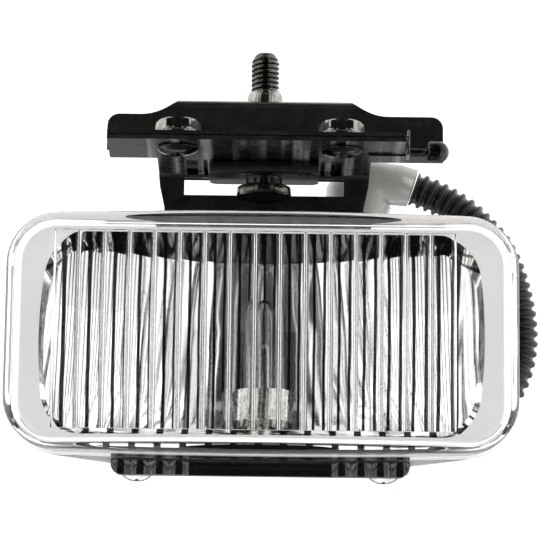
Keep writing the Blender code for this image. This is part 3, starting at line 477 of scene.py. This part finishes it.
def black_paint():
    look = Look("black_paint").set(Coat_Weight=0.5, Coat_Roughness=0.12)
    look.colour(look.noise(60, 6), (0.009, 0.0078, 0.0068), (0.019, 0.0162, 0.014))
    look.roughness(look.noise(220, 5), 0.16, 0.34)
    look.bump(look.noise(130, 3, (1.0, 0.07, 0.12)), 0.25, 0.6)
    look.bump(look.noise(1600, 2), 0.02, 0.5)
    return look.mat


def yoke_paint():
    """Satin black; faces that look down carry painted light streaks, a painted reflection of the lens's
    flutes.
    """
    look = Look("yoke_paint").set(Coat_Weight=0.3, Coat_Roughness=0.06)
    graph = Graph(look.mat.node_tree)
    upward = graph.split(graph.output("ShaderNodeNewGeometry", "Normal"))[2]
    below = graph.fall(upward, -0.95, -0.8)
    wide = look.noise(150, 1, (1.0, 0.01, 0.01))
    fine = look.noise(700, 2, (1.0, 0.02, 0.02))
    # Painted reflection: pale streaks of the lens's flutes, only on faces that look down.
    painted_reflection = graph.product(graph.ramp(wide, 0.5, 0.58), graph.ramp(fine, 0.4, 0.6, 0.25, 1.0), below)
    look.colour(painted_reflection, (0.008, 0.009, 0.009), (0.34, 0.34, 0.33), 0.0, 1.0)
    look.roughness(look.noise(260, 5), 0.2, 0.4)
    look.bump(look.noise(260, 2, (1.0, 0.03, 0.1)), 0.12, 0.5)
    return look.mat


def plated(name, dark, light, rough, pits):
    """Metal plating, cloudy between two colours, with fine pits."""
    look = Look(name).set(Metallic=1.0)
    look.colour(look.noise(500, 6), dark, light)
    look.roughness(look.noise(700, 4), *rough)
    look.bump(look.noise(600, 5), pits, 0.7)
    return look.mat


def plastic(name, first, second, rough, grain, coat=0.0):
    """Plastic or rubber with a fine moulded grain and, if asked, a gloss coat."""
    look = Look(name).set(Coat_Weight=coat, Coat_Roughness=0.08)
    look.colour(look.noise(90, 5), first, second)
    look.roughness(look.noise(300, 4), *rough)
    look.bump(look.noise(1400, 3), grain, 0.5)
    return look.mat


def mirror_coat():
    """Bright metal coat with narrow dark upright stripes of painted shade that wander a little; they
    stand in for the dark bands the flutes show.
    """
    look = Look("aluminised").set(Metallic=1.0)
    look.colour(look.noise(50, 3), (0.88, 0.88, 0.87), (0.95, 0.95, 0.94))
    look.roughness(look.noise(120, 4), 0.03, 0.06)
    look.bump(look.noise(60, 1), 0.02, 0.2)
    graph = Graph(look.mat.node_tree)
    along = graph.split(graph.output("ShaderNodeTexCoord", "Object"))[0]
    phase = graph.math("DIVIDE", graph.math("SUBTRACT", along, FLUTE_X * MM), FLUTE_PITCH * MM)
    wander = graph.product(look.noise(14, 2, (1.0, 1.0, 0.2)), STRIPE_WANDER)
    phase = graph.math("FRACT", graph.math("ADD", graph.math("ADD", phase, wander), WHOLE_TURNS))
    from_middle = graph.math("ABSOLUTE", graph.math("SUBTRACT", phase, 0.5))
    # Painted shade: the stripes darken the coat's colour.
    look.darken(graph.ramp(from_middle, *STRIPE_EDGE, PAINTED_SHADE_LEVEL, 1.0))
    return look.mat


def satin_flange():
    """Pale satin metal paint with painted light: it glows a little, though it is no lamp."""
    look = Look("satin_flange")
    look.set(Emission_Color=(1.0, 0.965, 0.94, 1.0), Emission_Strength=FLANGE_PAINTED_GLOW)
    look.colour(look.noise(90, 5), (0.86, 0.84, 0.825), (0.92, 0.9, 0.885))
    look.roughness(look.noise(300, 4), 0.3, 0.45)
    return look.mat


def clear_glass(name, wave_mm):
    """Clear glass with a slight waviness of that height."""
    look = Look(name).set(Transmission_Weight=1.0, IOR=1.5)
    look.colour(look.noise(25, 2), (0.975, 0.985, 0.985), (1.0, 1.0, 1.0))
    look.roughness(look.noise(200, 2), 0.0, 0.012)
    look.bump(look.noise(60, 1, (1.0, 1.0, 0.25)), wave_mm, 0.2)
    return look.mat


def paint(obj, mat):
    obj.data.materials.clear()
    obj.data.materials.append(mat)


# ---------------------------------------------------------------- camera and light


def make_camera():
    azimuth, elevation = radians(CAMERA_AZIMUTH), radians(CAMERA_ELEVATION)
    level = cos(elevation)
    back = Vector((sin(azimuth) * level, -cos(azimuth) * level, sin(elevation)))
    camera = bpy.data.objects.new("camera", bpy.data.cameras.new("camera"))
    camera.data.lens = CAMERA_LENS
    camera.data.clip_start = 0.05
    camera.data.clip_end = 20.0
    turn = (-back).to_track_quat("-Z", "Y").to_matrix().to_4x4()
    roll = Matrix.Rotation(radians(CAMERA_ROLL), 4, "Z")
    place = Matrix.Translation(Vector(CAMERA_AIM) + back * CAMERA_DISTANCE)
    camera.matrix_world = place @ turn @ roll
    bpy.context.scene.collection.objects.link(camera)
    bpy.context.scene.camera = camera


def make_sky():
    """White studio with dark cards; the camera itself sees plain white."""
    world = bpy.data.worlds.new("studio")
    bpy.context.scene.world = world
    world.use_nodes = True
    graph = Graph(world.node_tree)
    sky = graph.nodes["Background"]
    level = graph.studio_level(graph.output("ShaderNodeTexCoord", "Generated"))
    camera_ray = graph.output("ShaderNodeLightPath", "Is Camera Ray")
    strength = graph.math("MAXIMUM", graph.product(level, STUDIO_LIGHT), camera_ray)
    graph.links.new(strength, sky.inputs["Strength"])
    sky.inputs["Color"].default_value = (1.0, 1.0, 1.0, 1.0)


def floor_look():
    """Pale floor that carries the cards on in what reflects it, as painted shade and painted glow, and
    is plain to the camera.
    """
    look = Look("pale_floor").set(Emission_Color=(1.0, 1.0, 1.0, 1.0))
    look.colour(look.noise(2, 3), (0.86, 0.86, 0.86), (0.9, 0.9, 0.9))
    look.roughness(look.noise(5, 3), 0.6, 0.8)
    graph = Graph(look.mat.node_tree)
    towards = graph.nodes.new("ShaderNodeVectorMath")
    towards.operation = "SUBTRACT"
    towards.inputs[1].default_value = (0.0, 0.0, LAMP_Z * MM)
    graph.links.new(graph.output("ShaderNodeTexCoord", "Object"), towards.inputs[0])
    aim = graph.nodes.new("ShaderNodeVectorMath")
    aim.operation = "NORMALIZE"
    graph.links.new(towards.outputs["Vector"], aim.inputs[0])
    level = graph.math("MINIMUM", graph.studio_level(aim.outputs["Vector"]), 1.0)
    camera_ray = graph.output("ShaderNodeLightPath", "Is Camera Ray")
    level = graph.math("MAXIMUM", level, camera_ray)
    # Painted shade: the studio's dark cards darken the floor's colour, except to the camera.
    look.darken(level)
    # Painted glow, seen only in what reflects the floor.
    painted_glow = graph.product(graph.math("SUBTRACT", 1.0, camera_ray), level)
    graph.links.new(graph.product(painted_glow, FLOOR_GLOW), look.shader.inputs["Emission Strength"])
    return look.mat


def make_floor():
    bm = bmesh.new()
    corners = rectangle(-FLOOR_HALF, FLOOR_HALF, -FLOOR_HALF, FLOOR_HALF)
    bm.faces.new([bm.verts.new((x, y, FLOOR_Z)) for x, y in corners])
    mesh = bpy.data.meshes.new("floor")
    bm.to_mesh(mesh)
    bm.free()
    floor = bpy.data.objects.new("floor", mesh)
    bpy.context.scene.collection.objects.link(floor)
    paint(floor, floor_look())


# ---------------------------------------------------------------- pieces


def make_loom():
    """Corrugated tube: a flattened cosine wave swept along the route."""
    centre = smooth_route(LOOM_ROUTE, 24)
    runs = [0.0]
    for a, b in zip(centre, centre[1:]):
        runs.append(runs[-1] + (b - a).length)
    total = runs[-1]
    count = int(total / LOOM_PITCH) * LOOM_ROWS
    rings = []
    side = Vector((0, 1, 0))
    k = 0
    for i in range(count + 1):
        s = total * i / count
        while k < len(runs) - 2 and runs[k + 1] < s:
            k += 1
        t = (s - runs[k]) / (runs[k + 1] - runs[k])
        point = centre[k].lerp(centre[k + 1], t)
        ahead = (centre[k + 1] - centre[k]).normalized()
        across = (side - ahead * side.dot(ahead)).normalized()
        other = ahead.cross(across)
        phase = (i % LOOM_ROWS) / LOOM_ROWS
        wave = 0.5 + 0.5 * max(-1.0, min(1.0, LOOM_SQUARENESS * cos(2 * pi * phase)))
        radius = LOOM_R - LOOM_DEPTH * (1.0 - wave)
        angles = [2 * pi * j / LOOM_SIDES for j in range(LOOM_SIDES)]
        rings.append([tuple(point + across * radius * cos(a) + other * radius * sin(a)) for a in angles])
    bm = bmesh.new()
    skin(bm, rings)
    loom = to_object("corrugated_loom", bm, 60.0)
    look = Look("loom_plastic").set(Specular_IOR_Level=0.35)
    look.colour(look.noise(120, 5), (0.003, 0.003, 0.003), (0.007, 0.007, 0.0065))
    look.roughness(look.noise(300, 4), 0.22, 0.4)
    look.bump(look.noise(900, 3), 0.03, 0.5)
    paint(loom, look.mat)
    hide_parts("loom_tube")
    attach(loom, "lamp")


def bowed(half_w, half_h, radius):
    """The lens's outline, whose top and bottom edges bow outward in the middle."""
    out = []
    for x, z in densify(rounded_box(half_w, half_h - LENS_BOW, radius), 5.0):
        swell = LENS_BOW * (1.0 - (x / half_w) ** 2) * z / (half_h - LENS_BOW)
        out.append((x, LAMP_Z + z + swell))
    return out


def lens_shell():
    """The lens's outside: a closed solid with a rounded shoulder and a slightly domed front."""
    half_w, half_h = LENS_W / 2, LENS_H / 2
    levels = [(0.8, LENS_REAR_Y), (0.25, LENS_REAR_Y - 0.25), (0.0, LENS_REAR_Y - 0.9)]
    for i in range(SHOULDER_STEPS + 1):
        angle = radians(90.0 * i / SHOULDER_STEPS)
        levels.append((SHOULDER * (1.0 - cos(angle)), LENS_FRONT_Y + SHOULDER * (1.0 - sin(angle))))
    rings = []
    for inset, y in levels:
        outline = bowed(half_w - inset, half_h - inset, LENS_CORNER - inset)
        rings.append([lift(p, "Y", y) for p in outline])
    edge = bowed(half_w - SHOULDER, half_h - SHOULDER, LENS_CORNER - SHOULDER)
    for share in CROWN_SHARES:
        y = LENS_FRONT_Y - LENS_BULGE * (1.0 - share**2)
        rings.append([(x * share, y, LAMP_Z + (z - LAMP_Z) * share) for x, z in edge])
    bm = bmesh.new()
    skin(bm, rings)
    return to_object("lens_glass", bm, 40.0)


def lens_cavity():
    """The lens's inside: straight walls and a floor with a rounded edge."""
    half_w = LENS_W / 2 - LENS_WALL
    half_h = LENS_H / 2 - LENS_WALL - LENS_WALL_EXTRA
    corner = LENS_CORNER - LENS_WALL
    steps = 6
    levels = []
    for i in range(steps + 1):
        angle = radians(90.0 * i / steps)
        inset = LENS_FLOOR_R * (1.0 - sin(angle))
        levels.append((inset, LENS_FLOOR_Y + LENS_FLOOR_R * (1.0 - cos(angle))))
    levels.append((0.0, LENS_REAR_Y + 1.0))
    rings = []
    for inset, y in levels:
        outline = densify(rounded_box(half_w - inset, half_h - inset, corner - inset), 6.0)
        rings.append([lift((x, LAMP_Z + z), "Y", y) for x, z in outline])
    bm = bmesh.new()
    skin(bm, rings)
    return to_object("cutter", bm)


def flute_cutter():
    """A row of shallow hollows with narrow steep ridges of glass left between them."""
    start = FLUTE_X - FLUTES * FLUTE_PITCH / 2
    rear = LENS_FLOOR_Y + 1.2
    outline = [(start + FLUTES * FLUTE_PITCH, rear), (start, rear)]
    for k in range(FLUTES):
        for i in range(FLUTE_STEPS + (k == FLUTES - 1)):
            t = 0.5 - 0.5 * cos(pi * i / FLUTE_STEPS)
            from_ridge = min(t, 1.0 - t) / RIDGE_SHARE
            ridge = 0.5 + 0.5 * cos(pi * min(1.0, from_ridge))
            hollow = 1.0 - (2 * t - 1) ** 2
            depth = HOLLOW_DEPTH * hollow + (FLUTE_DEPTH - HOLLOW_DEPTH) * (1.0 - ridge)
            outline.append((start + (k + t) * FLUTE_PITCH, LENS_FLOOR_Y - depth))
    return prism(outline, "Z", LAMP_Z - FLUTE_HALF_H, LAMP_Z + FLUTE_HALF_H)


def make_lens():
    """Pressed glass tray with vertical flutes inside."""
    lens = lens_shell()
    cut(lens, [lens_cavity(), flute_cutter()])
    paint(lens, clear_glass("lens_glass", 0.05))
    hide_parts("lens")
    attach(lens, "lamp")


def bowl_y(x, z):
    """Parabola about the middle that runs straight on towards both ends."""
    near = min(abs(x), BOWL_STRAIGHT_X)
    slope = near / (2.0 * FOCAL)
    return VERTEX_Y - (near * near + z * z) / (4.0 * FOCAL) - slope * (abs(x) - near)


def make_reflector():
    """Thin bowl with a flat flange round its mouth and a hole for the bulb's cup."""
    edge = densify(rounded_box(REFLECTOR_HALF_W, REFLECTOR_HALF_H, REFLECTOR_CORNER), 3.0)
    w = REFLECTOR_WALL
    rim_w, rim_h, rim_y = REFLECTOR_RIM
    flare_x, flare_z = rim_w / REFLECTOR_HALF_W, rim_h / REFLECTOR_HALF_H
    mouth = [(x * BOWL_SHARE * (1.0 - BOWL_BARREL * (z / REFLECTOR_HALF_H) ** 2), z) for x, z in edge]
    inside = [[(x * flare_x, rim_y, LAMP_Z + z * flare_z) for x, z in edge]]
    inside.append([(x, rim_y + FLANGE_STEP, LAMP_Z + z * BOWL_MOUTH) for x, z in mouth])
    for i in range(BOWL_RINGS):
        share = BOWL_TOP_SHARE * (1.0 - i / (BOWL_RINGS + 0.5))
        inside.append([(x * share, bowl_y(x * share, z * share), LAMP_Z + z * share) for x, z in mouth])
    grow_x = (REFLECTOR_HALF_W + w) / REFLECTOR_HALF_W
    grow_z = (REFLECTOR_HALF_H + w) / REFLECTOR_HALF_H
    outside = []
    for ring in inside:
        outside.append([(x * grow_x, y + w, LAMP_Z + (z - LAMP_Z) * grow_z) for x, y, z in ring])
    outside[0] = [(x, rim_y, z) for x, y, z in outside[0]]
    bm = bmesh.new()
    skin(bm, list(reversed(outside)) + inside)
    bowl = to_object("mirror_bowl", bm, 30.0)
    low = LAMP_Z - rim_h - 3.0
    hole = turned([(BULB_HOLE_R, low), (BULB_HOLE_R, low + 8.0)], (0, BULB_Y), "cutter", 40)
    cut(bowl, [hole])
    paint(bowl, mirror_coat())
    bowl.data.materials.append(satin_flange())
    for face in bowl.data.polygons:
        if face.normal.y < -0.8 and face.center.y / MM < rim_y + FLANGE_STEP + 0.1:
            face.material_index = 1
    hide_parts("reflector")
    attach(bowl, "lamp")


def make_stud():
    """Bolt with a dished round head and a helical thread that fades in and tapers off."""
    rings = [circle((0, 0), radius, height, STUD_SIDES) for radius, height in STUD_BODY]
    rows = int(STUD_TIP_Z / STUD_PITCH * STUD_ROWS)
    for i in range(1, rows + 1):
        z = STUD_TIP_Z * i / rows
        fade = min(1.0, z / THREAD_FADE)
        into_tip = max(0.0, (z - STUD_TIP_Z + TIP_LENGTH) / TIP_LENGTH)
        limit = STUD_R - TIP_DEPTH * into_tip**1.5
        ring = []
        for j in range(STUD_SIDES):
            turn = j / STUD_SIDES
            phase = (z / STUD_PITCH - turn) % 1.0
            tooth = max(0.0, min(1.0, 2.4 * abs(2 * phase - 1) - 0.55))
            radius = min(STUD_R - THREAD_DEPTH * fade * (1.0 - tooth), limit)
            ring.append((radius * cos(2 * pi * turn), radius * sin(2 * pi * turn), z))
        rings.append(ring)
    rings.append([(x * 0.55, y * 0.55, STUD_TIP_Z - 0.02) for x, y, z in rings[-1]])
    bm = bmesh.new()
    skin(bm, rings)
    stud = to_object("stud_bolt", bm, 40.0)
    paint(stud, plated("stud_plating", (0.03, 0.028, 0.025), (0.13, 0.125, 0.115), (0.08, 0.2), 0.03))
    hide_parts("mounting_stud")
    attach(stud, "stud")


def node_box(node):
    """Lowest and highest corner of a CAD node in millimetres."""
    return [[value / MM for value in corner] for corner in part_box(node)]


def hexagon_radius(angle):
    """Distance from the nut's axis to its flats in a direction."""
    step = pi / 3
    return NUT_FLATS / 2 / cos(angle % step - step / 2)


def make_nut(node, name, mat):
    """Flange nut: round flange, then a hexagon whose corners are turned off at both ends."""
    (x0, y0, z0), (x1, y1, z1) = node_box(node)
    cx, cy = (x0 + x1) / 2, (y0 + y1) / 2
    levels = [  # radius, cut by the flats or not, height
        (NUT_BORE, False, z0),
        (NUT_FLANGE_R - 0.3, False, z0),
        (NUT_FLANGE_R, False, z0 + 0.25),
        (NUT_FLANGE_R, False, z0 + 0.65),
        (NUT_FLANGE_R - 0.25, False, z0 + 0.9),
        (NUT_FLANGE_R - 1.4, False, z0 + 1.35),
        (6.05, True, z0 + 1.75),
        (6.5, True, z0 + 1.9),
        (6.5, True, z1 - 0.9),
        (6.15, True, z1 - 0.45),
        (5.55, True, z1 - 0.08),
        (5.3, False, z1),
        (NUT_BORE + 0.5, False, z1),
        (NUT_BORE, False, z1 - 0.5),
    ]
    rings = []
    for radius, flats, z in levels:
        ring = []
        for j in range(NUT_SIDES):
            angle = 2 * pi * j / NUT_SIDES
            r = min(radius, hexagon_radius(angle)) if flats else radius
            ring.append((cx + r * cos(angle), cy + r * sin(angle), z))
        rings.append(ring)
    bm = bmesh.new()
    skin(bm, rings, closed=True)
    nut = to_object(name, bm, 25.0)
    paint(nut, mat)
    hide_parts(node)
    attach(nut, "bracket")


def make_bottom_screw(node, name, mat):
    """Domed screw with a cross recess underneath."""
    (x0, y0, z0), (x1, y1, z1) = node_box(node)
    x, y = (x0 + x1) / 2, (y0 + y1) / 2
    radius = (x1 - x0) / 2
    edge_z = z0 + SCREW_DOME
    profile = [(0.01, z0)]
    for i in range(1, SCREW_DOME_STEPS):
        a = radians(90.0 * i / SCREW_DOME_STEPS)
        profile.append((radius * sin(a), z0 + SCREW_DOME * (1 - cos(a))))
    profile += [(radius, edge_z), (SCREW_SHANK_R, edge_z), (SCREW_SHANK_R, z1)]
    screw = turned(profile, (x, y), name, 48)
    long, short, depth = SCREW_RECESS
    slots = []
    for half_x, half_y in ((long, short), (short, long)):
        outline = rectangle(x - half_x, x + half_x, y - half_y, y + half_y)
        slots.append(prism(outline, "Z", z0 - 1.0, z0 + depth))
    cut(screw, slots)
    paint(screw, mat)
    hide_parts(node)
    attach(screw, "lamp")


def round_edges(obj, width_mm, segments, angle):
    bevel = obj.modifiers.new("edges", "BEVEL")
    bevel.width = width_mm * MM
    bevel.segments = segments
    bevel.limit_method = "ANGLE"
    bevel.angle_limit = radians(angle)
    return bevel


def make_bar(mat):
    """Angle bar whose front edge swells into upright ribs at both ends."""
    (_, front, z0), (half, rear, z1) = node_box("bottom_bar")
    steps = 240
    outline = []
    for i in range(steps + 1):
        x = -half + 2 * half * i / steps
        along = max(0.0, abs(x) - BAR_PLAIN_HALF) / BAR_RIB_PITCH
        outline.append((x, front - BAR_RIB_DEPTH * abs(sin(pi * along)) ** 0.8))
    outline += [(half, front + BAR_SHEET), (-half, front + BAR_SHEET)]
    bar = prism(outline, "Z", z0, z1, "ribbed_bar")
    web = prism(rectangle(-half, half, front + 0.5, rear), "Z", z1 - BAR_SHEET, z1)
    cutters = []
    for side in (-1, 1):
        corner = arc((half - BAR_CORNER, z0 + BAR_CORNER), BAR_CORNER, 0, -90, 10)
        corner += [(half - BAR_CORNER, z0 - 1.0), (half + 1.0, z0 - 1.0)]
        corner.append((half + 1.0, z0 + BAR_CORNER))
        corner = [(side * x, z) for x, z in corner]
        cutters.append(prism(corner, "Y", front - 2.0, front + BAR_SHEET + 0.01))
    join = bar.modifiers.new("join", "BOOLEAN")
    join.operation = "UNION"
    join.object = web
    join.solver = "EXACT"
    cut(bar, cutters)
    bpy.data.objects.remove(web, do_unlink=True)
    round_edges(bar, 0.3, 3, 50.0)
    paint(bar, mat)
    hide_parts("bottom_bar")
    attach(bar, "lamp")


def soften(name, mat, width_mm, segments=3):
    """Keep a CAD node: weld its faces, round its edges, smooth its round stretches."""
    node = NODES[name]
    node.data.shade_smooth()
    weld = node.modifiers.new("weld", "WELD")
    weld.merge_threshold = 0.00001
    if width_mm:
        round_edges(node, width_mm, segments, 32.0).miter_outer = "MITER_ARC"
    node.modifiers.new("normals", "WEIGHTED_NORMAL").weight = 80
    paint(node, mat)


make_camera()
make_sky()
make_floor()
bpy.context.scene.view_settings.view_transform = "Standard"
make_loom()
make_lens()
make_reflector()
make_stud()

bright = plated("bright_plating", (0.5, 0.49, 0.46), (0.78, 0.77, 0.74), (0.12, 0.3), 0.03)
dark = plated("dark_plating", (0.02, 0.019, 0.018), (0.06, 0.058, 0.054), (0.1, 0.24), 0.04)
nut_plating = plated("nut_plating", (0.09, 0.087, 0.08), (0.24, 0.235, 0.22), (0.06, 0.16), 0.02)
ring_plating = plated("ring_plating", (0.12, 0.115, 0.105), (0.3, 0.29, 0.27), (0.06, 0.16), 0.02)
grey = plastic("light_grey", (0.37, 0.37, 0.352), (0.44, 0.44, 0.42), (0.25, 0.42), 0.03, 0.4)
gloss = plastic("gloss_black", (0.004, 0.004, 0.004), (0.008, 0.008, 0.008), (0.06, 0.14), 0.01, 1.0)
silicone = plastic("clear_silicone", (0.5, 0.51, 0.49), (0.6, 0.61, 0.58), (0.2, 0.4), 0.02)
rubber = plastic("black_rubber", (0.01, 0.01, 0.01), (0.02, 0.02, 0.02), (0.45, 0.65), 0.04)
nylon = plastic("nylon", (0.6, 0.58, 0.5), (0.68, 0.66, 0.58), (0.35, 0.5), 0.02)
red = plastic("lead_red", (0.3, 0.02, 0.015), (0.38, 0.03, 0.02), (0.35, 0.5), 0.01)
black = black_paint()
satin_black = yoke_paint()

for side in ("left", "right"):
    make_nut(f"flange_nut_{side}", f"hex_nut_{side}", nut_plating)
    make_bottom_screw(f"bottom_screw_{side}", f"dome_screw_{side}", bright)

soften("mounting_bracket", black, 0.25)
soften("yoke", satin_black, 0.2)
soften("clamp_saddle", black, 0.25)
soften("lamp_cradle", satin_black, 0.2)
soften("backing_plate", black, 0.2)
make_bar(gloss)
soften("housing", grey, 0.3, 2)
soften("wire_boot", grey, 0.0)
soften("connector", rubber, 0.3, 2)
soften("connector_clip", nylon, 0.2, 2)
soften("lens_seal", silicone, 0.0)
soften("stud_retainer", ring_plating, 0.15, 2)
soften("spacer_sleeve", dark, 0.2, 2)
soften("side_clip", bright, 0.1, 2)
soften("side_screw", dark, 0.0)
soften("pivot_bolt", dark, 0.2, 2)
soften("pivot_nut", dark, 0.25, 2)
soften("bulb_base", bright, 0.2, 2)
soften("bulb_glass", clear_glass("bulb_glass", 0.02), 0.0)
soften("bulb_filament", bright, 0.0)
soften("lead_wire_live", red, 0.0)
soften("lead_wire_ground", rubber, 0.0)
for side in ("left", "right"):
    soften(f"clamp_bolt_{side}", dark, 0.1, 2)
    soften(f"rear_screw_low_{side}", dark, 0.15, 2)
    soften(f"rear_screw_high_{side}", dark, 0.15, 2)
    soften(f"pivot_washer_{side}", nylon, 0.15, 2)
